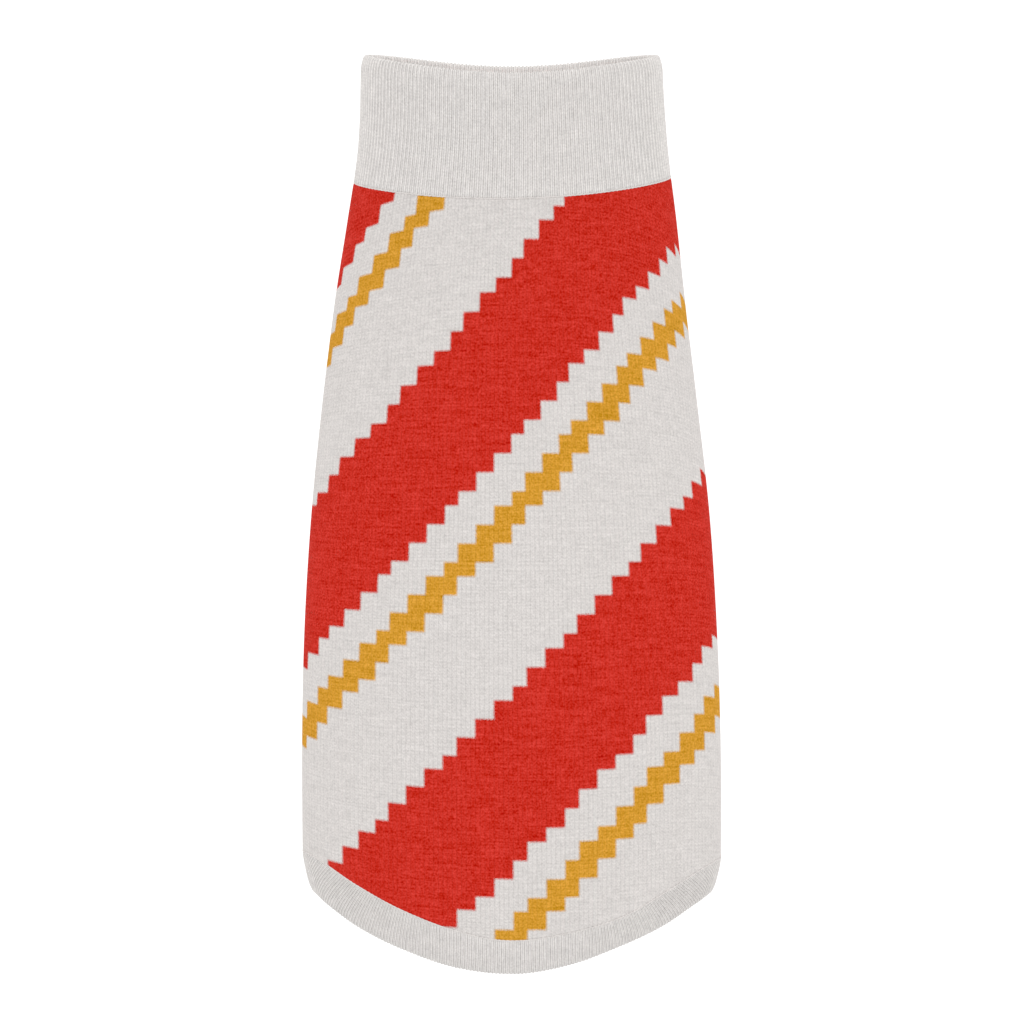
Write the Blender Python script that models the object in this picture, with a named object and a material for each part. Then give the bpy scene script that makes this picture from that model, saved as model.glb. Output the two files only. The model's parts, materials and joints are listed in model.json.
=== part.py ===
"""Knitted dog sweater, filled out and hollow, as a standing dog wears it.

Frame: +Y runs along the back from the tail to the neck, +X is the dog's right
side and +Z is up. The origin is the point where the withers hold the sweater
up: the inner face of the back panel, on the back line, just behind the neck
seam. All working sizes are in millimetres, and meshes are made in metres.

The whole garment lies on one form, a tube of half ellipses: an upper half for
the back and a deeper lower half for the chest. Every piece is a stretch of
that tube with its own wall, and neighbours stand a seam gap apart.
"""

import math

import bmesh
import bpy
import numpy as np
from mathutils import Vector

MM = 0.001

# Cloth
PANEL_WALL = 2.0
BAND_WALL = 2.4
COLLAR_WALL = 3.0
SEAM_GAP = 0.3

# One-by-one ribs: a raised wale and a groove in each pitch
RIB_PITCH = 1.8
HEM_RIB_PITCH = 1.65
RIB_DEPTH = 0.45
COLUMNS_PER_RIB = 2
RIB_COLUMNS_PER_INNER = 4

# The form, one row for each section. "along" is the place on the Y axis, "top"
# is the height of the back line, "rise" is the back line above the widest
# level, "drop" is the belly line below it, and "sway" is how far the section
# hangs to the right.
SECTION_COLUMNS = ("along", "half_width", "top", "rise", "drop", "sway")
SECTIONS = (
    (-335.0, 96.0, -8.5, 48.0, 45.0, 0.0),
    (-275.0, 95.9, -2.3, 48.0, 48.0, -0.1),
    (-225.0, 95.6, -0.3, 48.0, 51.0, -0.3),
    (-175.0, 93.9, 0.2, 47.0, 55.5, -0.6),
    (-125.0, 90.5, 0.2, 45.5, 60.5, -0.7),
    (-75.0, 84.8, 0.2, 42.5, 63.0, -1.0),
    (-25.0, 78.2, 0.5, 39.0, 57.0, -0.8),
    (5.0, 73.6, 2.6, 36.5, 48.5, 0.0),
    (35.0, 68.4, 8.7, 34.0, 41.0, 0.4),
    (65.0, 65.8, 16.2, 33.0, 37.0, -0.1),
    (90.0, 65.2, 21.2, 32.8, 36.0, -0.3),
)

# Neck seam and neck rim, as places along Y that vary round the tube: "tilt"
# sets the throat ahead of the nape, "bow" sets both sides ahead, "quarter" sets
# the places halfway to the sides ahead, and "skew" sets the right side ahead.
NECK_SEAM = {"mean": 21.25, "tilt": 11.85, "bow": 2.0, "quarter": 0.15, "skew": 1.1}
NECK_RIM = {"mean": 71.5, "tilt": 11.2, "bow": 2.7, "quarter": 0.4, "skew": 0.0}

# Rows of the collar from its seam to the folded rim: the share of its width,
# and how far both faces draw in to round the fold
COLLAR_ROWS = (
    {"share": 0.0, "draw_in": 0.0},
    {"share": 0.5, "draw_in": 0.0},
    {"share": 0.972, "draw_in": 0.0},
    {"share": 1.0, "draw_in": 0.9},
)

# The hem band's rear edge and its seam with the panels, as places along Y on the
# left and on the right, by angle round the tube: 0 is the back line, 90 is the
# widest level and 180 is the belly line. The left side hangs a little lower.
HEM_COLUMNS = ("angle", "left_edge", "right_edge", "left_seam", "right_seam")
HEM_LINES = (
    (0.0, -325.8, -325.8, -308.6, -308.6),
    (15.0, -323.5, -322.5, -304.4, -305.6),
    (30.0, -317.2, -315.6, -296.7, -299.8),
    (45.0, -310.1, -308.8, -287.9, -290.6),
    (60.0, -303.0, -302.1, -280.6, -284.0),
    (72.0, -299.3, -299.5, -278.5, -282.0),
    (90.0, -297.3, -298.2, -278.5, -281.5),
    (110.0, -285.5, -287.0, -259.5, -261.5),
    (130.0, -256.6, -258.5, -228.0, -229.5),
    (155.0, -211.5, -212.5, -189.0, -190.0),
    (180.0, -192.3, -192.3, -175.8, -175.8),
)

# How far the rib draws in from its seam to its edge, and how far its ribs turn
# round the tube on their way there, in radians at the widest level
HEM_DRAW_IN = 4.0
HEM_RIB_TURN = 0.34

# Over SEAM_GAP, because the panels' edge runs straight between its columns
HEM_SEAM_GAP = 0.58

# Side seams between back and belly panel, and the leg holes on them
SIDE_SEAM_ANGLE = 147.0
LEG_HOLE_ALONG = -40.0
LEG_HOLE_RADIUS = 24.0
LEG_SPLAY = 14.0
LEG_BAND_CLEARANCE = 0.4
LEG_BAND_LENGTH = 18.0
LEG_CUTTER_REACH = 34.0
LEG_CUTTER_SIDES = 48

# Fineness of the meshes
BACK_HALF_COLUMNS = 14
BELLY_HALF_COLUMNS = 5
PANEL_ROWS = 22
HEM_ROWS = 2
LINE_SAMPLES = 720
HALVINGS = 40
PROBE_LENGTH = 0.5
PROBE_TURN = 0.01
RIB_SHADE_ANGLE = 35.0

WHITE_KNIT = (0.69, 0.66, 0.64, 1.0)
WHITE_RIB = (0.65, 0.62, 0.60, 1.0)
KNIT_ROUGHNESS = 0.9


def table_columns(names, rows):
    """Columns of a table by name."""
    return {name: np.array(column) for name, column in zip(names, zip(*rows))}


def smooth(places, values, place, level_ends=False):
    """Cubic curve through the rows of a table, read at one place."""
    slopes = np.gradient(values, places)
    if level_ends:
        slopes[0] = 0.0
        slopes[-1] = 0.0
    row = int(np.clip(np.searchsorted(places, place) - 1, 0, len(places) - 2))
    span = places[row + 1] - places[row]
    t = (place - places[row]) / span
    start = (1 + 2 * t) * (1 - t) ** 2 * values[row] + t * (1 - t) ** 2 * span * slopes[row]
    end = t * t * (3 - 2 * t) * values[row + 1] + t * t * (t - 1) * span * slopes[row + 1]
    return float(start + end)


SECTION_TABLE = table_columns(SECTION_COLUMNS, SECTIONS)
HEM_TABLE = table_columns(HEM_COLUMNS, HEM_LINES)


def section(along):
    """Sway, half width, widest level, rise and drop of the form at one station."""
    read = {name: smooth(SECTION_TABLE["along"], SECTION_TABLE[name], along) for name in SECTION_COLUMNS[1:]}
    return read["sway"], read["half_width"], read["top"] - read["rise"], read["rise"], read["drop"]


def form_point(along, angle):
    """Point on the outer face of the form; the angle is in radians from the back line."""
    sway, half_width, level, rise, drop = section(along)
    up = math.cos(angle)
    height = rise if up > 0 else drop
    return np.array((sway + half_width * math.sin(angle), along, level + height * up))


def form_normal(along, angle):
    """Outward normal of the form, from points close by."""
    lengthwise = form_point(along + PROBE_LENGTH, angle) - form_point(along - PROBE_LENGTH, angle)
    round_tube = form_point(along, angle + PROBE_TURN) - form_point(along, angle - PROBE_TURN)
    normal = np.cross(lengthwise, -round_tube)
    return normal / np.linalg.norm(normal)


def sunk_point(along, angle, depth):
    """Point inside the outer face, square to it."""
    return form_point(along, angle) - depth * form_normal(along, angle)


def neck_line(line, angle):
    """Place along Y of the neck seam or the neck rim at an angle round the tube."""
    tilted = line["mean"] - line["tilt"] * math.cos(angle) + line["skew"] * math.sin(angle)
    return tilted - line["bow"] * math.cos(2 * angle) - line["quarter"] * math.cos(4 * angle)


def hem_line(line, angle):
    """Place along Y of the hem band's edge or seam at an angle round the tube."""
    turned = math.degrees(math.remainder(angle, 2 * math.pi))
    side = "left_" if turned < 0 else "right_"
    return smooth(HEM_TABLE["angle"], HEM_TABLE[side + line], abs(turned), level_ends=True)


def hem_rib_foot(angle):
    """Angle at which the rib that ends at an angle of the edge leaves the seam."""
    return angle - HEM_RIB_TURN * math.sin(angle) ** 3


def column_angles():
    """Angles of the panels' columns all round the tube, the corners of the hem seam."""
    side = math.radians(SIDE_SEAM_ANGLE)
    back = np.linspace(-side, side, 2 * BACK_HALF_COLUMNS + 1)
    belly = np.linspace(side, 2 * math.pi - side, 2 * BELLY_HALF_COLUMNS + 1)
    return np.concatenate((back, belly[1:-1]))


SEAM_CORNERS = column_angles()
SEAM_CORNER_PLACES = np.array([hem_line("seam", corner) for corner in SEAM_CORNERS])


def cornered_hem_seam(angle):
    """The hem seam with straight stretches between the panels' columns."""
    return float(np.interp(angle, SEAM_CORNERS, SEAM_CORNER_PLACES, period=2 * math.pi))


def hem_gap(angle):
    """Half of the hem seam's gap along Y, which keeps its width square to the slanted seam."""
    along = cornered_hem_seam(angle)
    climb = cornered_hem_seam(angle + PROBE_TURN) - cornered_hem_seam(angle - PROBE_TURN)
    reach = np.linalg.norm(form_point(along, angle + PROBE_TURN) - form_point(along, angle - PROBE_TURN))
    return HEM_SEAM_GAP / 2 * math.hypot(1.0, climb / reach)


def fabric_mesh(name, outer, inner, ring, material):
    """Closed wall between an outer and an inner grid of points, as one object.

    Outer rows may have a whole number of times more points than inner ones.
    """
    mesh = bmesh.new()
    outer_grid = [[mesh.verts.new(point * MM) for point in row] for row in outer]
    inner_grid = [[mesh.verts.new(point * MM) for point in row] for row in inner]
    for grid in (outer_grid, inner_grid):
        for lower, upper in zip(grid, grid[1:]):
            add_strip(mesh, lower, upper, ring)
    for end in (0, -1):
        stitch_rim(mesh, outer_grid[end], inner_grid[end], ring)
    if not ring:
        for side in (0, -1):
            add_strip(mesh, [row[side] for row in outer_grid], [row[side] for row in inner_grid], False)
    bmesh.ops.recalc_face_normals(mesh, faces=mesh.faces)
    data = bpy.data.meshes.new(name)
    mesh.to_mesh(data)
    mesh.free()
    data.shade_smooth()
    data.set_sharp_from_angle(angle=math.radians(RIB_SHADE_ANGLE))
    data.materials.append(material)
    piece = bpy.data.objects.new(name, data)
    bpy.context.scene.collection.objects.link(piece)
    return piece


def add_strip(mesh, lower, upper, ring):
    """Quads between two rows with the same number of points."""
    count = len(lower)
    for column in range(count if ring else count - 1):
        following = (column + 1) % count
        mesh.faces.new((lower[column], lower[following], upper[following], upper[column]))


def stitch_rim(mesh, outer_row, inner_row, ring):
    """Faces between the rims of an outer row and a coarser inner row."""
    ratio = len(outer_row) // len(inner_row)
    if ratio == 1:
        add_strip(mesh, outer_row, inner_row, ring)
        return
    for column, corner in enumerate(inner_row):
        first = ratio * column - ratio // 2
        for step in range(ratio):
            edge = (outer_row[(first + step) % len(outer_row)], outer_row[(first + step + 1) % len(outer_row)])
            mesh.faces.new((corner, edge[0], edge[1]))
        following = inner_row[(column + 1) % len(inner_row)]
        mesh.faces.new((corner, outer_row[(first + ratio) % len(outer_row)], following))


def knit_material(name, colour):
    """Matt knitted yarn."""
    material = bpy.data.materials.new(name)
    material.use_nodes = True
    shader = material.node_tree.nodes["Principled BSDF"]
    shader.inputs["Base Color"].default_value = colour
    shader.inputs["Roughness"].default_value = KNIT_ROUGHNESS
    shader.inputs["Metallic"].default_value = 0.0
    return material


def even_angles(curve, pitch):
    """Angles round a closed curve at even steps, a whole number for each inner column."""
    fine = np.linspace(-math.pi, math.pi, LINE_SAMPLES + 1)
    points = np.array([curve(angle) for angle in fine])
    lengths = np.concatenate(([0.0], np.cumsum(np.linalg.norm(np.diff(points, axis=0), axis=1))))
    inner_step = pitch / COLUMNS_PER_RIB * RIB_COLUMNS_PER_INNER
    count = int(round(lengths[-1] / inner_step)) * RIB_COLUMNS_PER_INNER
    return np.interp(np.arange(count) / count * lengths[-1], lengths, fine)


def rib_sink(column):
    """Depth of a rib column below the raised wales: each second column is a groove."""
    return RIB_DEPTH * (column % COLUMNS_PER_RIB)


def neck_band(material):
    """Ribbed collar ring from the neck seam to the rim."""
    def middle(angle):
        return form_point((neck_line(NECK_SEAM, angle) + neck_line(NECK_RIM, angle)) / 2, angle)

    angles = even_angles(middle, RIB_PITCH)
    outer = []
    inner = []
    for row in COLLAR_ROWS:
        spots = []
        for angle in angles:
            start = neck_line(NECK_SEAM, angle) + SEAM_GAP / 2
            spots.append((start + row["share"] * (neck_line(NECK_RIM, angle) - start), angle))
        sunk = [row["draw_in"] + rib_sink(column) for column in range(len(angles))]
        outer.append([sunk_point(*spot, depth) for spot, depth in zip(spots, sunk)])
        inside = COLLAR_WALL - row["draw_in"]
        inner.append([sunk_point(*spot, inside) for spot in spots[::RIB_COLUMNS_PER_INNER]])
    return fabric_mesh("neck_band", outer, inner, True, material)


def hem_band(material):
    """Ribbed ring round the rear opening, from its seam to its edge."""
    def edge(angle):
        return form_point(hem_line("edge", angle), angle)

    angles = even_angles(edge, HEM_RIB_PITCH)
    outer = []
    inner = []
    for row in range(HEM_ROWS + 1):
        share = row / HEM_ROWS
        draw_in = HEM_DRAW_IN * share ** 2
        spots = []
        for angle in angles:
            foot = hem_rib_foot(angle)
            start = cornered_hem_seam(foot) - hem_gap(foot)
            spots.append((start + share * (hem_line("edge", angle) - start), foot + share * (angle - foot)))
        outer.append([sunk_point(*spot, draw_in + rib_sink(column)) for column, spot in enumerate(spots)])
        inner.append([sunk_point(*spot, draw_in + BAND_WALL) for spot in spots[::RIB_COLUMNS_PER_INNER]])
    return fabric_mesh("hem_band", outer, inner, True, material)


def panel(name, middle, half_span, half_columns, material):
    """Jersey panel between the hem seam, the neck seam and both side seams.

    Its columns keep their angle round the tube, and its rows divide each
    column evenly. Angles are in radians.
    """
    outer = []
    inner = []
    for row in range(PANEL_ROWS + 1):
        spots = []
        for column in range(-half_columns, half_columns + 1):
            angle = middle + half_span * column / half_columns
            rear = hem_line("seam", angle) + hem_gap(angle)
            front = neck_line(NECK_SEAM, angle) - SEAM_GAP / 2
            along = rear + row / PANEL_ROWS * (front - rear)
            if abs(column) == half_columns:
                angle -= math.copysign(seam_turn(along, angle), column)
            spots.append((along, angle))
        outer.append([form_point(*spot) for spot in spots])
        inner.append([sunk_point(*spot, PANEL_WALL) for spot in spots])
    return fabric_mesh(name, outer, inner, False, material)


def seam_turn(along, angle):
    """Angle round the tube of half a seam gap."""
    reach = np.linalg.norm(form_point(along, angle + PROBE_TURN) - form_point(along, angle - PROBE_TURN))
    return SEAM_GAP * PROBE_TURN / reach


def leg_axes(side):
    """Centre of a leg hole, the way the leg leaves, and two directions square to it."""
    centre = form_point(LEG_HOLE_ALONG, side * math.radians(SIDE_SEAM_ANGLE))
    splay = math.radians(LEG_SPLAY)
    outward = np.array((side * math.sin(splay), 0.0, -math.cos(splay)))
    forward = np.array((0.0, 1.0, 0.0))
    return centre, outward, forward, np.cross(outward, forward)


def is_inside(point, depth):
    """Whether a point lies inside the form sunk by a depth."""
    sway, half_width, level, rise, drop = section(point[1])
    up = point[2] - level
    height = (rise if up > 0 else drop) - depth
    return ((point[0] - sway) / (half_width - depth)) ** 2 + (up / height) ** 2 < 1


def leg_point(side, turn, radius, depth, beyond):
    """Point of a leg band: on the sunk form, and a distance beyond it along the leg."""
    centre, outward, forward, across = leg_axes(side)
    spoke = centre + radius * (math.cos(turn) * forward + math.sin(turn) * across)
    low = -LEG_CUTTER_REACH
    high = LEG_CUTTER_REACH
    for _ in range(HALVINGS):
        half = (low + high) / 2
        if is_inside(spoke + half * outward, depth):
            low = half
        else:
            high = half
    return spoke + (low + beyond) * outward


def leg_hole_cutter(name, side):
    """Round cutter along a leg, kept as a guide."""
    centre, outward, _, _ = leg_axes(side)
    mesh = bmesh.new()
    bmesh.ops.create_cone(mesh, cap_ends=True, segments=LEG_CUTTER_SIDES, radius1=LEG_HOLE_RADIUS * MM,
                          radius2=LEG_HOLE_RADIUS * MM, depth=2 * LEG_CUTTER_REACH * MM)
    data = bpy.data.meshes.new(name)
    mesh.to_mesh(data)
    mesh.free()
    cutter = bpy.data.objects.new(name, data)
    cutter.location = Vector(centre * MM)
    cutter.rotation_euler = Vector(outward).to_track_quat("Z", "Y").to_euler()
    cutter.hide_render = True
    cutter.display_type = "WIRE"
    bpy.context.scene.collection.objects.link(cutter)
    return cutter


def cut_leg_hole(piece, cutter):
    """Takes a leg hole's share out of a panel."""
    cut = piece.modifiers.new(cutter.name, "BOOLEAN")
    cut.operation = "DIFFERENCE"
    cut.solver = "EXACT"
    cut.object = cutter


def leg_band(name, side, material):
    """Ribbed cuff ring in a leg hole, down from the panels' inner face."""
    radius = LEG_HOLE_RADIUS - LEG_BAND_CLEARANCE
    ribs = 2 * round(math.pi * radius / RIB_PITCH)
    turns = np.linspace(0, 2 * math.pi, COLUMNS_PER_RIB * ribs, endpoint=False)
    rows = ((PANEL_WALL, 0.0), (0.0, LEG_BAND_LENGTH))
    outer = [[leg_point(side, turn, radius - rib_sink(column), *row) for column, turn in enumerate(turns)]
             for row in rows]
    inner = [[leg_point(side, turn, radius - BAND_WALL, *row) for turn in turns[::RIB_COLUMNS_PER_INNER]]
             for row in rows]
    return fabric_mesh(name, outer, inner, True, material)


def main():
    """Clears the scene and makes every piece."""
    for item in list(bpy.data.objects):
        bpy.data.objects.remove(item)
    side_seam = math.radians(SIDE_SEAM_ANGLE)
    back_panel = panel("back_panel", 0.0, side_seam, BACK_HALF_COLUMNS, knit_material("back_knit", WHITE_KNIT))
    belly_panel = panel("belly_panel", math.pi, math.pi - side_seam, BELLY_HALF_COLUMNS,
                        knit_material("belly_knit", WHITE_KNIT))
    neck_band(knit_material("collar_rib", WHITE_RIB))
    hem_band(knit_material("hem_rib", WHITE_RIB))
    cuff_rib = knit_material("cuff_rib", WHITE_RIB)
    for side_name, side in (("left", -1), ("right", 1)):
        cutter = leg_hole_cutter("leg_hole_" + side_name, side)
        cut_leg_hole(back_panel, cutter)
        cut_leg_hole(belly_panel, cutter)
        leg_band("leg_band_" + side_name, side, cuff_rib)


main()
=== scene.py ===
# A knitted dog sweater, filled out and hollow: ribbed collar, striped jersey body,
# ribbed hem and leg cuffs. Sizes in the dictionaries are in millimetres, and angles
# in degrees round the body: 0 is the back line, 90 the dog's right, 180 the belly.
from functools import partial
import json
import math

import bmesh
import bpy
import numpy as np
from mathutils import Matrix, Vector

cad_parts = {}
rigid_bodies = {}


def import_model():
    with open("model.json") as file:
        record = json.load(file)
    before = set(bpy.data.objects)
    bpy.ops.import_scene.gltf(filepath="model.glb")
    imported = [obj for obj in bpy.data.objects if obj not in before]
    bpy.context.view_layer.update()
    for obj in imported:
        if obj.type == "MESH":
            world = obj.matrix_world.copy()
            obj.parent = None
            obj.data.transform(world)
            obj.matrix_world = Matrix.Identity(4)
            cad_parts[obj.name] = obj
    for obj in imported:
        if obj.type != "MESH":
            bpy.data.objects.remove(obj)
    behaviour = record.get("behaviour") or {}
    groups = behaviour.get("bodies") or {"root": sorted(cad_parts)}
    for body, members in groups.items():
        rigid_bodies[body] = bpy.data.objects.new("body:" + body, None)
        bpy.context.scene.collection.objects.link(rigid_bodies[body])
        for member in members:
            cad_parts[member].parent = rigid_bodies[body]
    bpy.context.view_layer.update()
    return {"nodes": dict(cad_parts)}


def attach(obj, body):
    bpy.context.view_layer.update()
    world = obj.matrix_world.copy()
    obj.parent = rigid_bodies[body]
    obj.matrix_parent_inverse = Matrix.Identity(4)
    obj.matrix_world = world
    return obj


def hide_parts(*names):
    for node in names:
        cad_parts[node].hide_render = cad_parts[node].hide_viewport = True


for leftover in list(bpy.data.objects):
    bpy.data.objects.remove(leftover)
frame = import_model()
mm = 0.001
turn = 2 * math.pi
print("frame loaded:", ", ".join(sorted(frame["nodes"])))

bodyForm = {
    "columns": ("along", "halfWidth", "top", "rise", "drop", "sway"),
    "rows": (
        (-335.0, 96.0, -8.5, 48.0, 45.0, 0.0),
        (-275.0, 95.9, -2.3, 48.0, 48.0, -0.1),
        (-225.0, 95.6, -0.3, 48.0, 51.0, -0.3),
        (-175.0, 93.9, 0.2, 47.0, 55.5, -0.6),
        (-125.0, 90.5, 0.2, 45.5, 60.5, -0.7),
        (-75.0, 84.8, 0.2, 42.5, 63.0, -1.0),
        (-25.0, 78.2, 0.5, 39.0, 57.0, -0.8),
        (5.0, 73.6, 2.6, 36.5, 48.5, 0.0),
        (35.0, 68.4, 8.7, 34.0, 41.0, 0.4),
        (65.0, 65.8, 16.2, 33.0, 37.0, -0.1),
        (90.0, 65.2, 21.2, 32.8, 36.0, -0.3),
    ),
    "probeLength": 0.5,  # steps for slopes of the form
    "probeTurn": 0.01,
    "lineSamples": 1440,
}
formTable = dict(zip(bodyForm["columns"], np.array(bodyForm["rows"]).T))

# Soft troughs where the knit gives on the hidden side: a negative depth is a ridge, and "lean" turns
# a fold from lengthwise
softFolds = {
    "columns": ("along", "angle", "length", "width", "depth", "lean"),
    "rows": (
        (-18.0, 118.0, 22.0, 5.0, 0.55, 38.0),
        (-70.0, 121.0, 26.0, 6.0, 0.65, -34.0),
        (-66.0, 172.0, 24.0, 7.0, 0.50, 42.0),
        (-14.0, 169.0, 20.0, 6.0, 0.45, -30.0),
        (-22.0, -119.0, 24.0, 6.0, 0.60, -35.0),
        (-74.0, -123.0, 22.0, 5.0, 0.50, 31.0),
        (-63.0, -170.0, 27.0, 6.5, 0.55, -44.0),
        (-12.0, -171.0, 18.0, 5.5, 0.40, 28.0),
        (-135.0, 152.0, 34.0, 9.0, 0.60, 12.0),
        (-150.0, -158.0, 30.0, 8.0, 0.50, -17.0),
        (-128.0, 184.0, 28.0, 10.0, -0.45, 6.0),
        (-185.0, 112.0, 32.0, 9.0, 0.45, 24.0),
        (-192.0, -115.0, 36.0, 8.0, 0.50, -20.0),
    ),
}


def smoothTable(places, values, where, levelEnds=False):
    slopes = np.gradient(values, places)
    if levelEnds:
        slopes[[0, -1]] = 0.0
    row = np.clip(np.searchsorted(places, where) - 1, 0, len(places) - 2)
    span = places[row + 1] - places[row]
    t = (where - places[row]) / span
    start = (1 + 2 * t) * (1 - t) ** 2 * values[row] + t * (1 - t) ** 2 * span * slopes[row]
    end = t * t * (3 - 2 * t) * values[row + 1] + t * t * (t - 1) * span * slopes[row + 1]
    return start + end


def formSection(along):
    read = {name: smoothTable(formTable["along"], formTable[name], along) for name in bodyForm["columns"][1:]}
    return read["sway"], read["halfWidth"], read["top"] - read["rise"], read["rise"], read["drop"]


def formPoint(along, angle):
    along, angle = np.broadcast_arrays(along, angle)
    sway, halfWidth, level, rise, drop = formSection(along)
    up = np.cos(angle)
    height = np.where(up > 0, rise, drop)
    return np.stack((sway + halfWidth * np.sin(angle), along, level + height * up), axis=-1)


def formNormal(along, angle):
    probeLength = bodyForm["probeLength"]
    probeTurn = bodyForm["probeTurn"]
    lengthwise = formPoint(along + probeLength, angle) - formPoint(along - probeLength, angle)
    crosswise = formPoint(along, angle + probeTurn) - formPoint(along, angle - probeTurn)
    normal = np.cross(crosswise, lengthwise)
    return normal / np.linalg.norm(normal, axis=-1, keepdims=True)


def reachOfTurn(along, angle):  # millimetres of cloth for each radian round the body
    ahead = formPoint(along, angle + bodyForm["probeTurn"])
    behind = formPoint(along, angle - bodyForm["probeTurn"])
    return np.linalg.norm(ahead - behind, axis=-1) / (2 * bodyForm["probeTurn"])


def foldDepth(along, angle):
    reach = reachOfTurn(along, angle)
    depth = np.zeros(np.broadcast(along, angle).shape)
    for values in softFolds["rows"]:
        fold = dict(zip(softFolds["columns"], values))
        lean = math.radians(fold["lean"])
        offAngle = (angle - math.radians(fold["angle"]) + math.pi) % turn - math.pi
        crosswise = offAngle * reach
        lengthwise = along - fold["along"]
        across = crosswise * math.cos(lean) - lengthwise * math.sin(lean)
        down = crosswise * math.sin(lean) + lengthwise * math.cos(lean)
        depth += fold["depth"] * np.exp(-(across / fold["width"]) ** 2 - (down / fold["length"]) ** 2)
    return depth


def clothPoint(along, angle, depth):
    sunk = np.asarray(depth) + foldDepth(along, angle)
    return formPoint(along, angle) - sunk[..., None] * formNormal(along, angle)


def evenAngles(lineAt, pitch, perPitch):  # the last angle is the first one again, a full turn on
    fine = np.linspace(-math.pi, math.pi, bodyForm["lineSamples"] + 1)
    steps = np.linalg.norm(np.diff(formPoint(lineAt(fine), fine), axis=0), axis=1)
    lengths = np.concatenate(([0.0], np.cumsum(steps)))
    count = round(lengths[-1] / pitch)
    spots = np.linspace(0.0, lengths[-1], count * perPitch + 1)
    return np.interp(spots, lengths, fine), count, lengths[-1]


neckLines = {
    "seam": {"mean": 21.25, "tilt": 11.85, "bow": 2.0, "quarter": 0.15, "skew": 1.1},
    "rim": {"mean": 71.5, "tilt": 11.2, "bow": 2.7, "quarter": 0.4, "skew": 0.0},
}
hemLines = {
    "columns": ("angle", "leftEdge", "rightEdge", "leftSeam", "rightSeam"),
    "rows": (
        (0.0, -325.8, -325.8, -308.6, -308.6),
        (15.0, -323.5, -322.5, -304.4, -305.6),
        (30.0, -317.2, -315.6, -296.7, -299.8),
        (45.0, -310.1, -308.8, -287.9, -290.6),
        (60.0, -303.0, -302.1, -280.6, -284.0),
        (72.0, -299.3, -299.5, -278.5, -282.0),
        (90.0, -297.3, -298.2, -278.5, -281.5),
        (110.0, -285.5, -287.0, -259.5, -261.5),
        (130.0, -256.6, -258.5, -228.0, -229.5),
        (155.0, -211.5, -212.5, -189.0, -190.0),
        (180.0, -192.3, -192.3, -175.8, -175.8),
    ),
    "drawIn": 4.0,
    "ribTurn": 0.34,
}
hemTable = dict(zip(hemLines["columns"], np.array(hemLines["rows"]).T))


def neckLine(name, angle):
    line = neckLines[name]
    tilted = line["mean"] - line["tilt"] * np.cos(angle) + line["skew"] * np.sin(angle)
    return tilted - line["bow"] * np.cos(2 * angle) - line["quarter"] * np.cos(4 * angle)


def hemLine(name, angle):
    turned = np.degrees((angle + math.pi) % turn - math.pi)
    left = smoothTable(hemTable["angle"], hemTable["left" + name], np.abs(turned), levelEnds=True)
    right = smoothTable(hemTable["angle"], hemTable["right" + name], np.abs(turned), levelEnds=True)
    return np.where(turned < 0, left, right)


def hemRib(angle):  # where the rib that ends at an angle of the edge leaves the seam, and its length
    foot = angle - hemLines["ribTurn"] * np.sin(angle) ** 3
    start = hemLine("Seam", foot) - hemBand["seamGap"]
    chord = formPoint(hemLine("Edge", angle), angle) - formPoint(start, foot)
    return foot, start, np.linalg.norm(chord, axis=-1)


weldReach = 0.01  # points of one piece that are closer than this become one


def gridPiece(name, points, stitches, weld=False):
    rows, columns = points.shape[:2]
    cloth = bmesh.new()
    bmesh.ops.create_grid(cloth, x_segments=columns - 1, y_segments=rows - 1, size=1.0)
    mesh = bpy.data.meshes.new(name)
    cloth.to_mesh(mesh)
    mesh.vertices.foreach_set("co", (points * mm).reshape(-1))
    corners = np.empty(len(mesh.loops), dtype=np.int32)
    mesh.loops.foreach_get("vertex_index", corners)
    uvMap = mesh.uv_layers.new(name="stitches")
    uvMap.data.foreach_set("uv", stitches.reshape(-1, 2)[corners].reshape(-1))
    if weld:
        cloth.clear()
        cloth.from_mesh(mesh)
        bmesh.ops.remove_doubles(cloth, verts=cloth.verts, dist=weldReach * mm)
        bmesh.ops.recalc_face_normals(cloth, faces=cloth.faces)
        cloth.to_mesh(mesh)
    cloth.free()
    mesh.shade_smooth()
    piece = bpy.data.objects.new(name, mesh)
    bpy.context.scene.collection.objects.link(piece)
    return piece


def applyModifiers(piece):
    depsgraph = bpy.context.evaluated_depsgraph_get()
    finished = bpy.data.meshes.new_from_object(piece.evaluated_get(depsgraph), depsgraph=depsgraph)
    piece.modifiers.clear()
    piece.data = finished


bandRows = {"besideSeam": (0.0, 0.02, 0.05, 0.1), "first": 0.18}  # shares of the way from seam to fold


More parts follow.
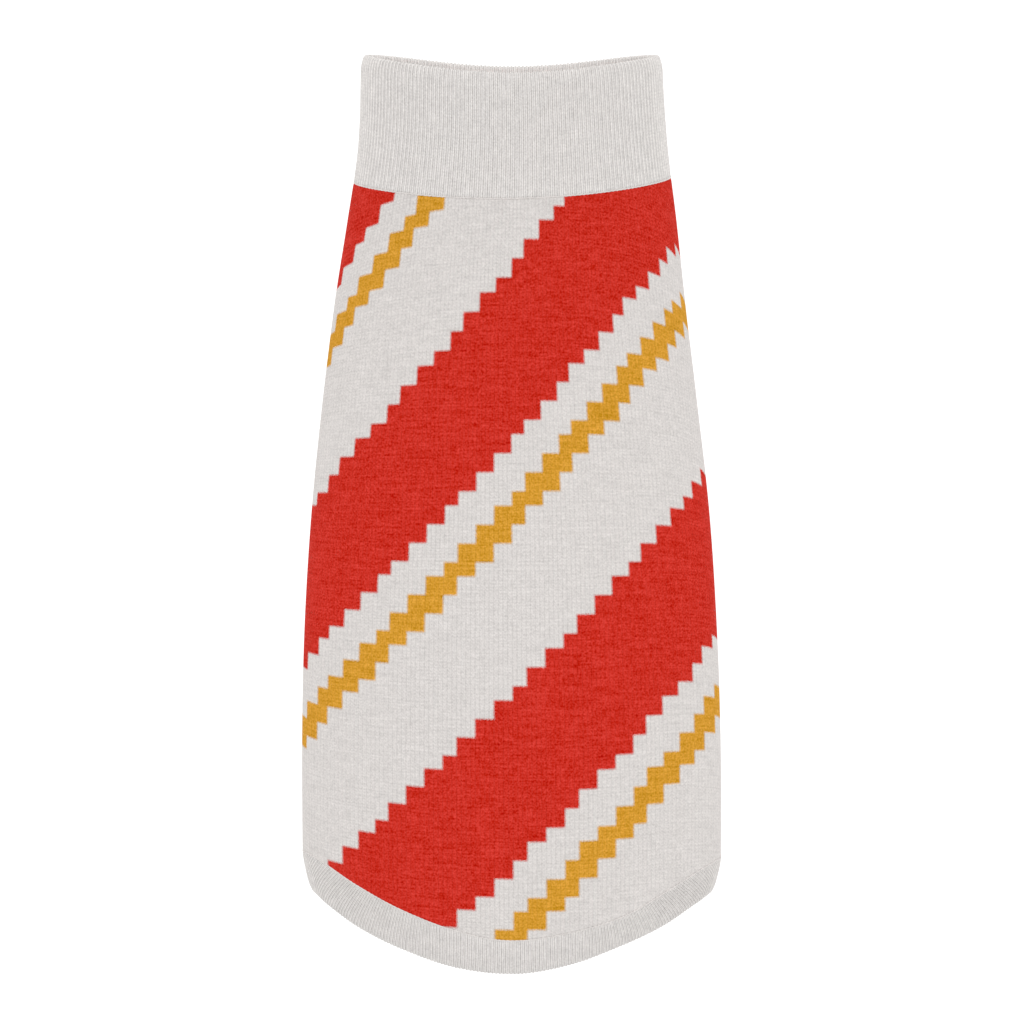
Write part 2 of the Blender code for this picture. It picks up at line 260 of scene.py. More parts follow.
def ribbedBand(name, band, columns, count, lengthAt, placeAt):
    # A doubled wall in rows: up its outer face from the seam, over the rounded fold, down its inner face and
    # back under the seam edge. Each row has its share of the way to the fold, its turn over the fold and
    # its depth.
    fold = band["wall"] / 2
    shares = np.concatenate((bandRows["besideSeam"], np.linspace(bandRows["first"], 1.0, band["rows"])))
    folding = math.pi * np.arange(1, band["foldSteps"]) / band["foldSteps"]
    share = np.concatenate((shares, np.ones(len(folding)), shares[::-1], [0.0]))[:, None]
    over = np.concatenate((np.zeros(len(shares)), folding, np.full(len(shares), math.pi), [0.0]))[:, None]
    length = lengthAt(columns)[None, :]
    fromSeam = share * (length - fold)
    ribs = np.linspace(0.0, count, len(columns))[None, :]
    groove = band["ribDepth"] * (0.5 - 0.5 * np.cos(turn * ribs)) ** band["grooveSharpness"]
    groove = groove * np.clip(band["ribAtSeam"] + fromSeam / band["ribFade"], 0.0, 1.0)
    roll = band["seamRoll"] * np.exp(-(fromSeam / band["rollReach"]) ** 2) * (over < math.pi)
    fromRim = length - fromSeam - (fold - groove) * np.sin(over)
    curl = band["rimCurl"] * np.exp(-(np.maximum(fromRim, 0.0) / band["curlReach"]) ** 2)
    depth = fold - (fold - groove) * np.cos(over) + roll + curl
    points = placeAt(np.broadcast_to(columns[None, :], depth.shape), fromRim, depth)
    walked = np.cumsum(np.abs(np.diff(share[:, 0], prepend=0.0))) * np.mean(length) + fold * over[:, 0]
    stitches = np.stack(np.broadcast_arrays(ribs, walked[:, None] / band["course"]), axis=-1)
    return gridPiece(name, points, stitches, weld=True)


def linkingYarn(name, path, outward, yarn, closed):
    # One yarn that whips round the seam line in a helix, closing the gap between two knitted edges
    steps = np.linalg.norm(np.diff(path, axis=0), axis=1)
    lengths = np.concatenate(([0.0], np.cumsum(steps)))
    loops = round(lengths[-1] / yarn["pitch"])
    spots = np.linspace(0.0, lengths[-1], loops * yarn["perLoop"] + 1)
    if closed:
        spots = spots[:-1]
    centre = np.stack([np.interp(spots, lengths, path[:, axis]) for axis in range(3)], axis=-1)
    normal = np.stack([np.interp(spots, lengths, outward[:, axis]) for axis in range(3)], axis=-1)
    normal = normal / np.linalg.norm(normal, axis=1, keepdims=True)
    forward = np.gradient(centre, axis=0)
    across = np.cross(normal, forward / np.linalg.norm(forward, axis=1, keepdims=True))
    winding = turn * loops * spots[:, None] / lengths[-1]
    swing = yarn["across"] * np.sin(winding) * across + yarn["deep"] * np.cos(winding) * normal
    points = (centre - yarn["depth"] * normal + swing) * mm
    line = bpy.data.curves.new(name, "CURVE")
    line.dimensions = "3D"
    line.bevel_depth = yarn["radius"] * mm
    line.bevel_resolution = 1
    line.use_fill_caps = True
    spline = line.splines.new("POLY")
    spline.points.add(len(points) - 1)
    spline.points.foreach_set("co", np.concatenate((points, np.ones((len(points), 1))), axis=1).reshape(-1))
    spline.use_cyclic_u = closed
    piece = bpy.data.objects.new(name, line)
    bpy.context.scene.collection.objects.link(piece)
    return piece


def lineYarn(name, along, angle, yarn, closed=True):
    return linkingYarn(name, clothPoint(along, angle, 0.0), formNormal(along, angle), yarn, closed)


def linearColour(code):
    levels = [int(code[place:place + 2], 16) / 255 for place in (1, 3, 5)]
    linear = [level / 12.92 if level <= 0.04045 else ((level + 0.055) / 1.055) ** 2.4 for level in levels]
    return (*linear, 1.0)


def addNode(tree, kind, links=None, output=0, **settings):
    node = tree.nodes.new(kind)
    for setting, value in settings.items():
        setattr(node, setting, value)
    for socket, value in (links or {}).items():
        if isinstance(value, bpy.types.NodeSocket):
            tree.links.new(value, node.inputs[socket])
        else:
            node.inputs[socket].default_value = value
    return node.outputs[output] if node.outputs else node


stripePattern = {
    "cell": (3.739, 3.743, 1.0),  # wales and rows in one step of the stripe
    "start": (0.969, 0.583, 0.0),
    "repeat": 24.0,  # steps from one red stripe to the next
    "redSteps": 10.0,
    "goldMiddle": 14.0,
    "goldSteps": 2.0,
    "edgeFuzz": 0.14,  # how unevenly the yarn changes colour, in stitches
    "fuzzSize": 0.5,
    "edgeBlend": 0.30,  # loose fibres that mingle over a change of colour, in stitches
    "white": "#E1DCD9",
    "red": "#D23125",
    "gold": "#DA9D33",
}
jerseyFace = {  # knit side: smooth columns of V stitches
    "waleShift": 0.0,
    "slant": 0.55,
    "split": 0.35,
    "coursesPerRow": 1.5,
    "courseDepth": 0.6,
    "edgePower": 3.0,
    "splitPower": 5.0,
    # painted shade: the colour darkens to this share at the bottom of the stitch grooves
    "paintedGrooveShade": 0.89,
    "bump": 0.22,
    "streakRun": (0.12, 2.0, 1.0),  # changes of shade to each wale and each row
}
jerseyBack = {  # purl side: rows of low bumps, a little darker from deeper painted shade in its grooves
    "waleShift": 0.5,
    "slant": -0.3,
    "split": 0.0,
    "coursesPerRow": 1.5,
    "courseDepth": 0.6,
    "edgePower": 3.0,
    "splitPower": 5.0,
    "paintedGrooveShade": 0.78,
    "bump": 0.3,
    "streakRun": (0.12, 2.0, 1.0),
}
ribFace = {  # one-by-one rib: a V column on each crest
    "waleShift": 0.5,
    "slant": 0.6,
    "split": 0.9,
    "coursesPerRow": 1.0,
    "courseDepth": 0.25,
    "edgePower": 6.0,
    "splitPower": 3.0,
    # painted shade, deepest of the three knits, in the rib's grooves and the split down each crest
    "paintedGrooveShade": 0.66,
    "bump": 0.2,
    "streakRun": (1.3, 0.22, 1.0),
    # the rib's white yarn, painted lighter than the body's white to offset the real and painted shade in its
    # deep grooves
    "colour": "#F0ECE9",
}
heather = {
    "fibre": {"size": 0.8, "strength": 0.55},
    "mottle": {"size": 3.5, "strength": 0.18},
    "streakStrength": 0.24,
    "dyedDepth": 0.5,  # how much more than white a dyed yarn varies, and how pale its light fibres are
    "dyedPaleness": 0.155,
}


def yarnShade(tree, stitches, knit):
    # Fine fibre flecks, streaks that run with the knitting, and broad soft mottling
    place = addNode(tree, "ShaderNodeTexCoord", output="Object")
    shade = 1.0
    for layer in (heather["fibre"], heather["mottle"]):
        cloud = {"Vector": place, "Scale": 1 / (layer["size"] * mm), "Detail": 3.0}
        cloud = addNode(tree, "ShaderNodeTexNoise", cloud)
        cloud = addNode(tree, "ShaderNodeMath", {0: cloud, 1: -0.5}, operation="ADD")
        cloud = {0: cloud, 1: layer["strength"], 2: shade}
        shade = addNode(tree, "ShaderNodeMath", cloud, operation="MULTIPLY_ADD")
    if knit:
        run = addNode(tree, "ShaderNodeVectorMath", {0: stitches, 1: knit["streakRun"]}, operation="MULTIPLY")
        streak = addNode(tree, "ShaderNodeTexNoise", {"Vector": run, "Scale": 1.0, "Detail": 2.0})
        streak = addNode(tree, "ShaderNodeMath", {0: streak, 1: -0.5}, operation="ADD")
        streak = {0: streak, 1: heather["streakStrength"], 2: shade}
        shade = addNode(tree, "ShaderNodeMath", streak, operation="MULTIPLY_ADD")
    return shade


def stitchHeight(tree, stitches, knit):
    # 0 in the grooves and 1 on top of the yarn, for V-shaped stitches; it drives the bump and the painted
    # shade in the grooves
    split = addNode(tree, "ShaderNodeSeparateXYZ", {0: stitches}).node
    wale = addNode(tree, "ShaderNodeMath", {0: split.outputs["X"], 1: knit["waleShift"]}, operation="ADD")
    wale = addNode(tree, "ShaderNodeMath", {0: wale}, operation="FRACT")
    side = addNode(tree, "ShaderNodeMath", {0: wale, 1: -0.5}, operation="ADD")
    side = addNode(tree, "ShaderNodeMath", {0: side}, operation="ABSOLUTE")
    side = addNode(tree, "ShaderNodeMath", {0: side, 1: 2.0}, operation="MULTIPLY")
    course = {0: split.outputs["Y"], 1: knit["coursesPerRow"]}
    course = addNode(tree, "ShaderNodeMath", course, operation="MULTIPLY")
    course = addNode(tree, "ShaderNodeMath", {0: side, 1: knit["slant"], 2: course}, operation="MULTIPLY_ADD")
    phase = addNode(tree, "ShaderNodeMath", {0: course}, operation="FRACT")
    ridge = addNode(tree, "ShaderNodeMath", {0: phase, 1: math.pi}, operation="MULTIPLY")
    ridge = addNode(tree, "ShaderNodeMath", {0: ridge}, operation="SINE")
    ridge = {0: ridge, 1: knit["courseDepth"], 2: 1 - knit["courseDepth"]}
    ridge = addNode(tree, "ShaderNodeMath", ridge, operation="MULTIPLY_ADD")
    edge = addNode(tree, "ShaderNodeMath", {0: side, 1: knit["edgePower"]}, operation="POWER")
    edge = addNode(tree, "ShaderNodeMath", {0: 1.0, 1: edge}, operation="SUBTRACT")
    middle = addNode(tree, "ShaderNodeMath", {0: 1.0, 1: side}, operation="SUBTRACT")
    middle = addNode(tree, "ShaderNodeMath", {0: middle, 1: knit["splitPower"]}, operation="POWER")
    middle = addNode(tree, "ShaderNodeMath", {0: middle, 1: -knit["split"], 2: 1.0}, operation="MULTIPLY_ADD")
    height = addNode(tree, "ShaderNodeMath", {0: ridge, 1: edge}, operation="MULTIPLY")
    return addNode(tree, "ShaderNodeMath", {0: height, 1: middle}, operation="MULTIPLY")


def stripeColour(tree, stitches):
    # Steps of whole stitches: each row of steps towards the tail moves the stripes one step to the left.
    # Gives the colour, and the share of it that is dyed yarn.
    place = addNode(tree, "ShaderNodeTexCoord", output="Object")
    patch = {"Vector": place, "Scale": 1 / (stripePattern["fuzzSize"] * mm), "Detail": 1.0}
    patch = addNode(tree, "ShaderNodeTexNoise", patch, output="Color")
    loose = addNode(tree, "ShaderNodeTexWhiteNoise", {"Vector": place}, output="Color")
    cell = stitches
    for noise, reach in ((patch, stripePattern["edgeFuzz"]), (loose, stripePattern["edgeBlend"])):
        noise = addNode(tree, "ShaderNodeVectorMath", {0: noise, 1: (0.5, 0.5, 0.5)}, operation="SUBTRACT")
        noise = {0: noise, 1: (2 * reach, 2 * reach, 0.0), 2: cell}
        cell = addNode(tree, "ShaderNodeVectorMath", noise, operation="MULTIPLY_ADD")
    cell = addNode(tree, "ShaderNodeVectorMath", {0: cell}, operation="FLOOR")
    cell = addNode(tree, "ShaderNodeVectorMath", {0: cell, 1: stripePattern["start"]}, operation="ADD")
    cell = addNode(tree, "ShaderNodeVectorMath", {0: cell, 1: stripePattern["cell"]}, operation="DIVIDE")
    cell = addNode(tree, "ShaderNodeVectorMath", {0: cell}, operation="FLOOR")
    step = {0: cell, 1: (1.0, 1.0, 0.0)}
    step = addNode(tree, "ShaderNodeVectorMath", step, operation="DOT_PRODUCT", output="Value")
    step = addNode(tree, "ShaderNodeMath", {0: step, 1: 0.5}, operation="ADD")
    step = addNode(tree, "ShaderNodeMath", {0: step, 1: stripePattern["repeat"]}, operation="FLOORED_MODULO")
    inRed = addNode(tree, "ShaderNodeMath", {0: step, 1: stripePattern["redSteps"]}, operation="LESS_THAN")
    inGold = {0: step, 1: stripePattern["goldMiddle"], 2: stripePattern["goldSteps"] / 2}
    inGold = addNode(tree, "ShaderNodeMath", inGold, operation="COMPARE")
    colour = linearColour(stripePattern["white"])
    for share, dye in ((inGold, "gold"), (inRed, "red")):
        colour = {"Factor": share, "A": colour, "B": linearColour(stripePattern[dye])}
        colour = addNode(tree, "ShaderNodeMix", colour, data_type="RGBA", output="Result")
    return colour, addNode(tree, "ShaderNodeMath", {0: inRed, 1: inGold}, operation="ADD")


def yarnMaterial(name, knit=None, striped=False, colour=None):
    # Matt spun yarn: soft uneven colour, with painted shade in the stitch grooves and a fine bump where it is
    # knitted
    material = bpy.data.materials.new(name)
    material.use_nodes = True
    tree = material.node_tree
    tree.nodes.clear()
    stitches = addNode(tree, "ShaderNodeUVMap", uv_map="stitches") if knit else None
    shade = yarnShade(tree, stitches, knit)
    shader = {"Roughness": 0.88, "Specular IOR Level": 0.06}
    if colour:
        tint = linearColour(colour)[:3]
    if striped:
        tint, dyed = stripeColour(tree, stitches)
        uneven = addNode(tree, "ShaderNodeMath", {0: shade, 1: -1.0}, operation="ADD")
        uneven = addNode(tree, "ShaderNodeMath", {0: uneven, 1: dyed}, operation="MULTIPLY")
        deeper = {0: uneven, 1: heather["dyedDepth"], 2: shade}
        shade = addNode(tree, "ShaderNodeMath", deeper, operation="MULTIPLY_ADD")
        paleness = {0: uneven, 1: heather["dyedPaleness"]}
        paleness = addNode(tree, "ShaderNodeMath", paleness, operation="MULTIPLY")
    if knit:
        # painted shade: the colour darkens as the stitch height falls, to its lowest in the grooves
        height = stitchHeight(tree, stitches, knit)
        groove = {"Value": height, "To Min": knit["paintedGrooveShade"], "To Max": 1.0}
        groove = addNode(tree, "ShaderNodeMapRange", groove)
        shade = addNode(tree, "ShaderNodeMath", {0: shade, 1: groove}, operation="MULTIPLY")
        shader["Normal"] = addNode(tree, "ShaderNodeBump", {"Height": height, "Distance": knit["bump"] * mm})
    shaded = addNode(tree, "ShaderNodeVectorMath", {0: tint, "Scale": shade}, operation="SCALE")
    if striped:
        shaded = addNode(tree, "ShaderNodeVectorMath", {0: shaded, 1: paleness}, operation="ADD")
        shaded = {0: shaded, 1: (0.0, 0.0, 0.0)}
        shaded = addNode(tree, "ShaderNodeVectorMath", shaded, operation="MAXIMUM")
    shader["Base Color"] = shaded
    surface = addNode(tree, "ShaderNodeBsdfPrincipled", shader)
    addNode(tree, "ShaderNodeOutputMaterial", {"Surface": surface})
    return material


collarRibKnit = yarnMaterial("collarOneByOneRib", ribFace, colour=ribFace["colour"])
hemRibKnit = yarnMaterial("hemOneByOneRib", ribFace, colour=ribFace["colour"])
cuffRibKnit = yarnMaterial("cuffOneByOneRib", ribFace, colour=ribFace["colour"])
stripedJersey = yarnMaterial("stripedJerseyKnitSide", jerseyFace, striped=True)
stripedPurl = yarnMaterial("stripedJerseyPurlSide", jerseyBack, striped=True)
linkingSpun = yarnMaterial("linkingYarnSpun", colour=stripePattern["white"])
print("materials made")

studio = {
    "cameraPlace": (0.0, -0.125, 0.6032),
    "lens": 50.0,
    "sensor": 36.0,
    "floorLevel": -0.95,
    "floorSize": 12.0,
    "floorColour": "#F7F7F6",
    "floorGlow": 0.25,
    "skyStrength": 0.86,
    "keyStrength": 0.62,
    "keySpread": 40.0,
    "keyTilt": (-25.0, 3.0),
    "hollowLamp": {
        "place": (0.0, 0.050, -0.006),
        "tilt": 14.0,
        "size": (0.095, 0.045),
        "power": 0.0125,
        "colour": (0.96, 0.985, 1.0),
    },
}


def buildStudio():
    scene = bpy.context.scene
    scene.view_settings.view_transform = "Standard"
    lens = bpy.data.cameras.new("productCamera")
    lens.lens = studio["lens"]
    lens.sensor_width = studio["sensor"]
    camera = bpy.data.objects.new("productCamera", lens)
    camera.location = studio["cameraPlace"]
    scene.collection.objects.link(camera)
    scene.camera = camera
    sweep = bmesh.new()
    bmesh.ops.create_grid(sweep, x_segments=1, y_segments=1, size=studio["floorSize"] / 2)
    bmesh.ops.translate(sweep, verts=sweep.verts, vec=(0.0, 0.0, studio["floorLevel"]))
    mesh = bpy.data.meshes.new("studioFloor")
    sweep.to_mesh(mesh)
    sweep.free()
    floor = bpy.data.objects.new("studioFloor", mesh)
    scene.collection.objects.link(floor)
    paper = bpy.data.materials.new("paleFloorPaper")
    paper.use_nodes = True
    paper.node_tree.nodes.clear()
    surface = addNode(paper.node_tree, "ShaderNodeBsdfPrincipled", {
        "Base Color": linearColour(studio["floorColour"]),
        "Roughness": 0.95,
        "Emission Color": (1.0, 1.0, 1.0, 1.0),
        "Emission Strength": studio["floorGlow"],
    })
    addNode(paper.node_tree, "ShaderNodeOutputMaterial", {"Surface": surface})
    mesh.materials.append(paper)
    sky = bpy.data.worlds.new("softStudio")
    sky.use_nodes = True
    sky.node_tree.nodes.clear()
    glow = {"Color": (1.0, 1.0, 1.0, 1.0), "Strength": studio["skyStrength"]}
    glow = addNode(sky.node_tree, "ShaderNodeBackground", glow)
    addNode(sky.node_tree, "ShaderNodeOutputWorld", {"Surface": glow})
    scene.world = sky
    lamp = bpy.data.lights.new("softKey", "SUN")
    lamp.energy = studio["keyStrength"]
    lamp.angle = math.radians(studio["keySpread"])
    key = bpy.data.objects.new("softKey", lamp)
    tiltForward, tiltSide = (math.radians(tilt) for tilt in studio["keyTilt"])
    key.rotation_euler = (tiltForward, tiltSide, 0.0)
    scene.collection.objects.link(key)
    within = studio["hollowLamp"]  # lifts the shade inside the collar
    panelLight = bpy.data.lights.new("hollowLamp", "AREA")
    panelLight.shape = "RECTANGLE"
    panelLight.size, panelLight.size_y = within["size"]
    panelLight.energy = within["power"]
    panelLight.color = within["colour"]
    glowPanel = bpy.data.objects.new("hollowLamp", panelLight)
    glowPanel.location = within["place"]
    glowPanel.rotation_euler = (math.radians(within["tilt"]), 0.0, 0.0)
    glowPanel.visible_camera = False
    scene.collection.objects.link(glowPanel)


buildStudio()
print("studio ready")

neckBand = {
    "wall": 3.0,
    "ribPitch": 1.8,
    "perRib": 8,
    "ribDepth": 0.45,
    "grooveSharpness": 2.5,
    "ribAtSeam": 0.4,  # share of the rib's depth at the seam, and how far off it is all there
    "ribFade": 6.0,
    "rows": 16,
    "foldSteps": 6,
    "rimCurl": 1.2,  # how far the rim draws in, and over what length
    "curlReach": 3.2,
    "seamRoll": 0.15,  # how far the edge sinks into its seam, and over what length
    "rollReach": 1.0,
    "seamGap": 0.15,
    "course": 1.3,
}


def buildNeckBand():
    def middle(angle):
        return (neckLine("seam", angle) + neckLine("rim", angle)) / 2

    def lengthAt(angle):
        return neckLine("rim", angle) - neckLine("seam", angle) - neckBand["seamGap"]

    def placeAt(angle, fromRim, depth):
        return clothPoint(neckLine("rim", angle) - fromRim, angle, depth)

    columns, count, girth = evenAngles(middle, neckBand["ribPitch"], neckBand["perRib"])
    piece = ribbedBand("neckBandRib", neckBand, columns, count, lengthAt, placeAt)
    piece.data.materials.append(collarRibKnit)
    print("neck band:", count, "ribs")
    return piece, (girth * mm, float(np.mean(lengthAt(columns))) * mm)


hemBand = {
    "wall": 2.4,
    "ribPitch": 1.65,
    "perRib": 8,
    "ribDepth": 0.45,
    "grooveSharpness": 2.5,
    "ribAtSeam": 0.4,
    "ribFade": 4.0,
    "rows": 7,
    "foldSteps": 6,
    "rimCurl": 0.3,
    "curlReach": 2.0,
    "seamRoll": 0.15,
    "rollReach": 0.9,
    "seamGap": 0.2,
    "course": 1.3,
}


def buildHemBand():
    def lengthAt(angle):
        return hemRib(angle)[2]

    def placeAt(angle, fromRim, depth):
        foot, start, length = hemRib(angle)
        share = 1 - fromRim / length
        along = start + share * (hemLine("Edge", angle) - start)
        return clothPoint(along, foot + share * (angle - foot), depth + hemLines["drawIn"] * share ** 2)

    columns, count, girth = evenAngles(partial(hemLine, "Edge"), hemBand["ribPitch"], hemBand["perRib"])
    piece = ribbedBand("hemBandRib", hemBand, columns, count, lengthAt, placeAt)
    piece.data.materials.append(hemRibKnit)
    print("hem band:", count, "ribs")
    return piece, (girth * mm, float(np.mean(lengthAt(columns))) * mm)


legBand = {
    "holeAlong": -40.0,
    "sideSeam": 147.0,
    "holeRadius": 24.0,
    "splay": 14.0,
    "clearance": 0.4,
    "reach": 34.0,
    "cutterSides": 96,
    "halvings": 40,
    "panelWall": 2.0,
    "cuffLength": 18.0,
    "wall": 2.4,
    "ribPitch": 1.8,
    "perRib": 6,
    "ribDepth": 0.45,
    "grooveSharpness": 2.5,
    "ribAtSeam": 0.4,
    "ribFade": 4.0,
    "rows": 9,
    "foldSteps": 6,
    "rimCurl": 0.3,
    "curlReach": 2.0,
    "seamRoll": 0.3,
    "rollReach": 0.8,
    "course": 1.3,
}


def legAxes(side):
    centre = formPoint(legBand["holeAlong"], side * math.radians(legBand["sideSeam"]))
    splay = math.radians(legBand["splay"])
    outward = np.array((side * math.sin(splay), 0.0, -math.cos(splay)))
    forward = np.array((0.0, 1.0, 0.0))
    return centre, outward, forward, np.cross(outward, forward)


def legSpoke(side, turned, radius):
    centre, _, forward, across = legAxes(side)
    spoke = np.cos(turned)[..., None] * forward + np.sin(turned)[..., None] * across
    return centre + radius[..., None] * spoke


def legReach(side, turned, depth):
    # How far along the leg a spoke meets the form sunk by a depth, found by halving
    outward = legAxes(side)[1]
    spoke = legSpoke(side, turned, np.full(turned.shape, legBand["holeRadius"] - legBand["clearance"]))
    low = np.full(turned.shape, -legBand["reach"])
    high = -low
    for _ in range(legBand["halvings"]):
        half = (low + high) / 2
        point = spoke + half[..., None] * outward
        sway, halfWidth, level, rise, drop = formSection(point[..., 1])
        up = point[..., 2] - level
        height = np.where(up > 0, rise, drop) - depth
        across = (point[..., 0] - sway) / (halfWidth - depth)
        inside = across ** 2 + (up / height) ** 2 < 1
        low = np.where(inside, half, low)
        high = np.where(inside, high, half)
    return low


def buildLegBand(name, side):
    radius = legBand["holeRadius"] - legBand["clearance"]
    ribs = round(turn * radius / legBand["ribPitch"])
    columns = np.linspace(0.0, turn, ribs * legBand["perRib"] + 1)
    rim = legReach(side, columns, 0.0) + legBand["cuffLength"]
    top = legReach(side, columns, legBand["panelWall"])
    outward = legAxes(side)[1]

    def lengthAt(turned):
        return rim - top

    def placeAt(turned, fromRim, depth):
        spoke = legSpoke(side, turned, radius - depth)
        return spoke + (rim[None, :] - fromRim)[..., None] * outward

    piece = ribbedBand(name, legBand, columns, ribs, lengthAt, placeAt)
    piece.data.materials.append(cuffRibKnit)
    return piece, (turn * radius * mm, float(np.mean(lengthAt(columns))) * mm)


panels = {
    "wall": 2.0,
    "edgeSteps": (0.0, 0.3, 0.7, 1.2, 2.0),
    "seamRoll": 0.15,
    "rollReach": 0.9,
    "seamGap": 0.15,
    "hemGap": 0.2,
    "spacingRadius": 85.0,  # only sets how close the columns beside a side seam are
    "wales": 47.594,  # wales to each half-width of arc
    "waleStart": -0.352,
    "bellyWaleStart": 37.0,
    "flattening": 0.3725,  # height of the arc that spaces the wales, for each half-width
    "rowsPerLength": -0.49607,
    "rowStart": -8.654,
}
rowBend = {  # how the rows arch and lean round the body, in steps of the stripe
    "arch": (0.4295, -0.897, -0.907),
    "lean": (-0.023, 0.198),
    "droop": -0.834,
    "sideDroop": -0.743,
    "from": -160.0,
    "over": 160.0,
    "lastAngle": 95.0,  # past the flanks the arch holds still
}
backPanel = {"middle": 0.0, "halfSpan": 147.0, "columns": 150, "rows": 150}
bellyPanel = {"middle": 180.0, "halfSpan": 33.0, "columns": 40, "rows": 100}


def stitchMap(along, angle, middle):
    # Wales and rows of the pattern at a point: wales follow the arc of the body, and rows arch towards
    # its sides
    fine = np.linspace(-turn, turn, 4 * bodyForm["lineSamples"] + 1)
    pace = np.hypot(np.cos(fine), panels["flattening"] * np.sin(fine))
    arc = np.concatenate(([0.0], np.cumsum((pace[1:] + pace[:-1]) / 2 * np.diff(fine))))
    start = panels["waleStart"] if middle == 0 else panels["bellyWaleStart"]
    wales = panels["wales"] * (np.interp(angle, fine, arc) - np.interp(middle, fine, arc)) + start
    place = (along - rowBend["from"]) / rowBend["over"]
    off = 1 - np.maximum(np.cos(angle), math.cos(math.radians(rowBend["lastAngle"])))
    droop = rowBend["droop"] + rowBend["sideDroop"] * np.sin(angle)
    bend = np.polynomial.polynomial.polyval(place, rowBend["arch"]) * off + droop * off ** 2
    bend = bend + np.polynomial.polynomial.polyval(place, rowBend["lean"]) * np.sin(angle)
    rows = panels["rowsPerLength"] * along + panels["rowStart"] + bend * stripePattern["cell"][1]
    return np.stack((wales, rows), axis=-1)


def buildPanel(name, panel):
    steps = np.array(panels["edgeSteps"])
    middle = math.radians(panel["middle"])
    halfSpan = math.radians(panel["halfSpan"])
    beside = steps / panels["spacingRadius"]
    inner = np.linspace(beside[-1] - halfSpan, halfSpan - beside[-1], panel["columns"])[1:-1]
    columns = np.concatenate((beside - halfSpan, inner, halfSpan - beside[::-1]))[None, :]
    angle = middle + columns
    rear = hemLine("Seam", angle) + panels["hemGap"]
    front = neckLine("seam", angle) - panels["seamGap"]
    shares = np.linspace(0.0, 1.0, panel["rows"])[1:-1, None]
    body = rear + steps[-1] + shares * (front - rear - 2 * steps[-1])
    along = np.concatenate((rear + steps[:, None], body, front - steps[::-1, None]))
    reach = reachOfTurn(along, angle)
    angle = np.broadcast_to(angle, along.shape)
    outermost = np.abs(columns) == np.abs(columns).max()
    angle = angle - panels["seamGap"] / reach * columns / halfSpan * outermost
    fromSide = (halfSpan - np.abs(columns)) * reach
    edges = (along - rear, front - along, fromSide)
    depth = sum(np.exp(-(distance / panels["rollReach"]) ** 2) for distance in edges)
    points = clothPoint(along, angle, panels["seamRoll"] * np.minimum(depth, 1.0))
    piece = gridPiece(name, points, stitchMap(along, angle, middle))
    piece.data.materials.append(stripedJersey)
    piece.data.materials.append(stripedPurl)
    wall = piece.modifiers.new("wall", "SOLIDIFY")
    wall.thickness = panels["wall"] * mm
    wall.offset = -1.0
    wall.use_even_offset = True
    wall.material_offset = 1
    cutLegHoles(piece)
    print(name, "made:", len(piece.data.polygons), "faces")
    girths = np.linalg.norm(np.diff(points, axis=1), axis=-1).sum(axis=1)
    lengths = np.linalg.norm(np.diff(points, axis=0), axis=-1).sum(axis=0)
    purl = [face for face in piece.data.polygons if face.material_index == 1]
    area = sum(face.area for face in purl)  # one side of the cloth, less its leg holes
    return piece, (float(girths.max()) * mm, float(lengths.max()) * mm), area


def cutLegHoles(piece):
    cutters = []
    for side in (-1, 1):
        centre, outward, _, _ = legAxes(side)
        radius = legBand["holeRadius"] * mm
        size = {"radius1": radius, "radius2": radius, "depth": 2 * legBand["reach"] * mm}
        drill = bmesh.new()
        bmesh.ops.create_cone(drill, cap_ends=True, segments=legBand["cutterSides"], **size)
        mesh = bpy.data.meshes.new("legHoleCutter")
        drill.to_mesh(mesh)
        drill.free()
        cutter = bpy.data.objects.new("legHoleCutter", mesh)
        cutter.location = Vector(centre * mm)
        cutter.rotation_euler = Vector(outward).to_track_quat("Z", "Y").to_euler()
        bpy.context.scene.collection.objects.link(cutter)
        cut = piece.modifiers.new("legHole", "BOOLEAN")
        cut.operation = "DIFFERENCE"
        cut.solver = "EXACT"
        cut.object = cutter
        cutters.append(cutter)
    applyModifiers(piece)
    for cutter in cutters:
        bpy.data.objects.remove(cutter)


linking = {
    "pitch": 1.9,
    "perLoop": 8,  # points to each turn of the helix
    "radius": 0.32,
    "across": 0.08,
    "deep": 0.05,
    "depth": 0.22,  # from the cloth's face down to the yarn's middle
    "aside": 0.1,  # from the seam line towards the rib
    "endGap": 0.6,  # from the end of a side seam's yarn to the next seam
    "samples": 200,
}


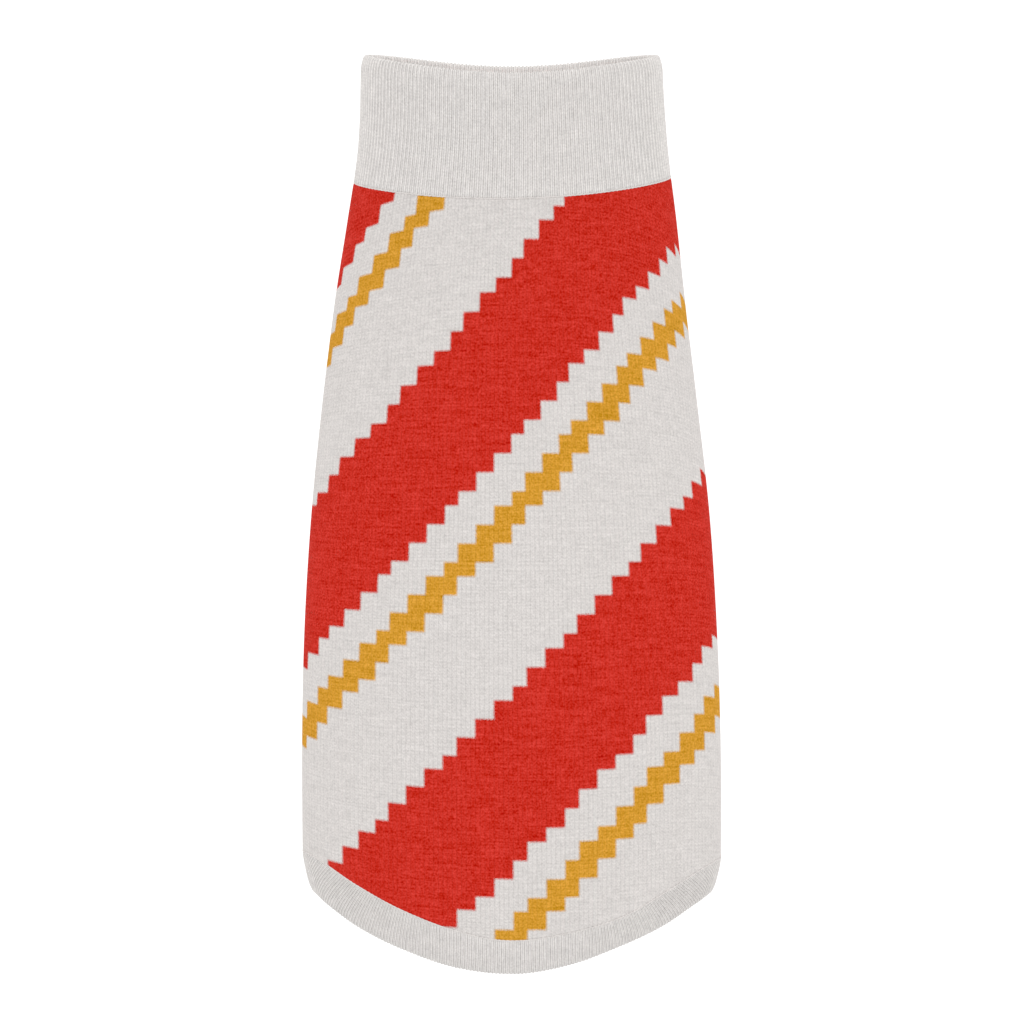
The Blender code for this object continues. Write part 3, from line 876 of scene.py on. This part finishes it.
def buildLinking():
    fine = np.linspace(-math.pi, math.pi, bodyForm["lineSamples"] + 1)
    made = {"neck": lineYarn("neckLinking", neckLine("seam", fine) + linking["aside"], fine, linking)}
    made["hem"] = lineYarn("hemLinking", hemLine("Seam", fine) - linking["aside"], fine, linking)
    for word, side in (("Left", -1), ("Right", 1)):
        seam = side * math.radians(legBand["sideSeam"])
        holeRear = legBand["holeAlong"] - legBand["holeRadius"] - linking["endGap"]
        holeFront = legBand["holeAlong"] + legBand["holeRadius"] + linking["endGap"]
        rear = float(hemLine("Seam", seam)) + linking["endGap"]
        front = float(neckLine("seam", seam)) - linking["endGap"]
        for end, start, stop in (("Rear", rear, holeRear), ("Front", holeFront, front)):
            along = np.linspace(start, stop, linking["samples"])
            angle = np.full(linking["samples"], seam)
            yarn = lineYarn("side" + end + "Linking" + word, along, angle, linking, closed=False)
            made["side" + word + end] = yarn
        around = np.linspace(0.0, turn, bodyForm["lineSamples"] + 1)
        middle = legBand["holeRadius"] - legBand["clearance"] / 2
        edge = legSpoke(side, around, np.full(around.shape, middle))
        edge = edge + legReach(side, around, 0.0)[:, None] * legAxes(side)[1]
        outward = formNormal(edge[:, 1], np.full(around.shape, seam))
        made["leg" + word] = linkingYarn("cuffLinking" + word, edge, outward, linking, closed=True)
    for yarn in made.values():
        yarn.data.materials.append(linkingSpun)
    return made


neck, neckFlat = buildNeckBand()
hem, hemFlat = buildHemBand()
back, backFlat, backArea = buildPanel("backPanelJersey", backPanel)
belly, bellyFlat, bellyArea = buildPanel("bellyPanelJersey", bellyPanel)
leftCuff, cuffFlat = buildLegBand("legBandRibLeft", -1)
rightCuff, cuffFlat = buildLegBand("legBandRibRight", 1)
yarns = buildLinking()
print("pieces made")

for piece, node, slot in (
    (neck, "neck_band", "collar_rib"),
    (hem, "hem_band", "hem_rib"),
    (back, "back_panel", "back_knit"),
    (belly, "belly_panel", "belly_knit"),
    (leftCuff, "leg_band_left", "cuff_rib"),
    (rightCuff, "leg_band_right", "cuff_rib"),
):
    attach(piece, "root")
    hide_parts(node)
for word, yarn in yarns.items():
    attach(yarn, "root")
flats = {"neck": neckFlat, "hem": hemFlat, "back": backFlat, "belly": bellyFlat, "cuff": cuffFlat}
for word, flat in flats.items():
    print(word, "flat mm:", [round(side / mm, 1) for side in flat])
print("panel areas:", round(backArea, 5), round(bellyArea, 5))
